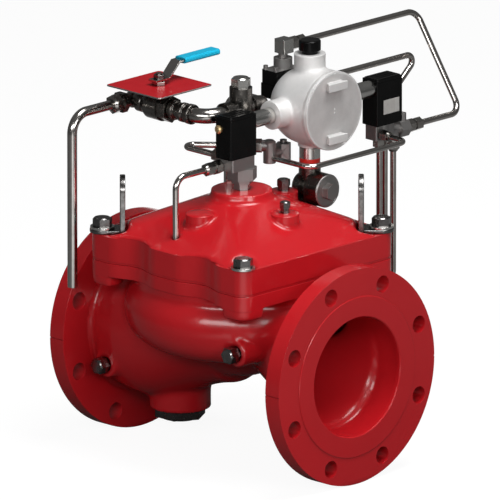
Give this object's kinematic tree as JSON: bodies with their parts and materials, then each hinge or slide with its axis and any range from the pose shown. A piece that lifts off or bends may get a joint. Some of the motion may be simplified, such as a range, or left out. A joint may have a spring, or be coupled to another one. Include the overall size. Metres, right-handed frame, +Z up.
{
  "type": "electrically actuated control valve",
  "caption": "Flanged diaphragm control valve with solenoid pilots, pressure switch, junction box, isolating ball valve and pilot tubing.",
  "frame": {"origin": "centre of the inlet flange's face", "axes": "+X with the flow to the outlet flange, +Z up through the cover and the pilot valves, -Y the side of the supply tube"},
  "size_m": [0.4064, 0.5515, 0.5161],
  "materials": {
    "red_paint": "gloss",
    "dark_steel": "satin",
    "stainless": "polished",
    "brass": "satin",
    "rubber": "matt",
    "coil_plastic": "matt",
    "cast_aluminium": "satin",
    "grip_vinyl": "gloss",
    "zinc_steel": "satin",
    "seat_plastic": "matt"
  },
  "bodies": {
    "valve_body": {"body_casting": "red_paint", "seat_ring": "brass", "diaphragm": "rubber", "cover_casting": "red_paint", "cover_bush": "brass", "cover_bolts": "zinc_steel", "cover_washers": "zinc_steel", "lifting_lugs": "zinc_steel", "drain_plug": "dark_steel", "boss_plugs": "dark_steel", "port_connectors": "stainless", "tube_nuts": "stainless", "main_spring": "stainless", "supply_tube": "stainless", "inlet_elbow": "stainless", "ball_valve_body": "stainless", "valve_end_cap": "stainless", "ball_seats": "seat_plastic", "gland_nut": "stainless", "tag_plate": "red_paint", "line_elbow": "stainless", "line_pipe": "stainless", "line_tee": "stainless", "tee_plug": "zinc_steel", "priming_tube": "stainless", "pilot_base": "dark_steel", "pilot_coil": "coil_plastic", "remote_base": "dark_steel", "remote_coil": "coil_plastic", "coil_caps": "coil_plastic", "conduit_nipples": "zinc_steel", "box_shell": "cast_aluminium", "box_cover": "cast_aluminium", "box_plug": "coil_plastic", "terminal_block": "coil_plastic", "pillar": "zinc_steel", "pillar_collar": "red_paint", "filter_body": "dark_steel", "filter_cap": "dark_steel", "pressure_switch": "dark_steel", "needle_valve": "dark_steel", "cover_tubes": "stainless", "cross_tube": "stainless", "loop_tube": "stainless", "return_tube": "stainless", "drop_tubes": "stainless"},
    "main_disc": {"stem": "stainless", "closing_disc": "stainless", "disc_seal": "rubber", "clamp_plates": "stainless", "stem_nut": "zinc_steel"},
    "isolating_lever": {"ball": "stainless", "valve_stem": "stainless", "lever": "stainless", "lever_grip": "grip_vinyl", "lever_nut": "zinc_steel"},
    "pilot_plunger": {"pilot_plunger": "stainless"},
    "remote_plunger": {"remote_plunger": "stainless"},
    "override_button": {"override_button": "brass"},
    "needle_screw": {"needle_screw": "zinc_steel"}
  },
  "joints": [
    {"name": "main_disc_lift", "type": "slide", "parent": "valve_body", "child": "main_disc", "axis": [0, 0, 1], "range_m": [0, 0.026], "stiffness_N_per_m": 1500, "springref_m": -0.01, "deforming": ["main_spring", "diaphragm"]},
    {"name": "isolating_valve_turn", "type": "hinge", "parent": "valve_body", "child": "isolating_lever", "pos_m": [0.087, -0.03, 0.297], "axis": [0, 0, -1], "range_deg": [0, 90]},
    {"name": "pilot_plunger_stroke", "type": "slide", "parent": "valve_body", "child": "pilot_plunger", "axis": [0, 0, 1], "range_m": [0, 0.003], "stiffness_N_per_m": 200, "springref_m": -0.003},
    {"name": "remote_plunger_stroke", "type": "slide", "parent": "valve_body", "child": "remote_plunger", "axis": [0, 0, 1], "range_m": [0, 0.003], "stiffness_N_per_m": 200, "springref_m": -0.003},
    {"name": "override_press", "type": "slide", "parent": "valve_body", "child": "override_button", "axis": [0, 1, 0], "range_m": [0, 0.002], "stiffness_N_per_m": 300, "springref_m": -0.001},
    {"name": "needle_adjust", "type": "hinge", "parent": "valve_body", "child": "needle_screw", "pos_m": [0.1832, 0.095, 0.24], "axis": [0, 0, 1], "range_deg": [-180, 540]}
  ]
}
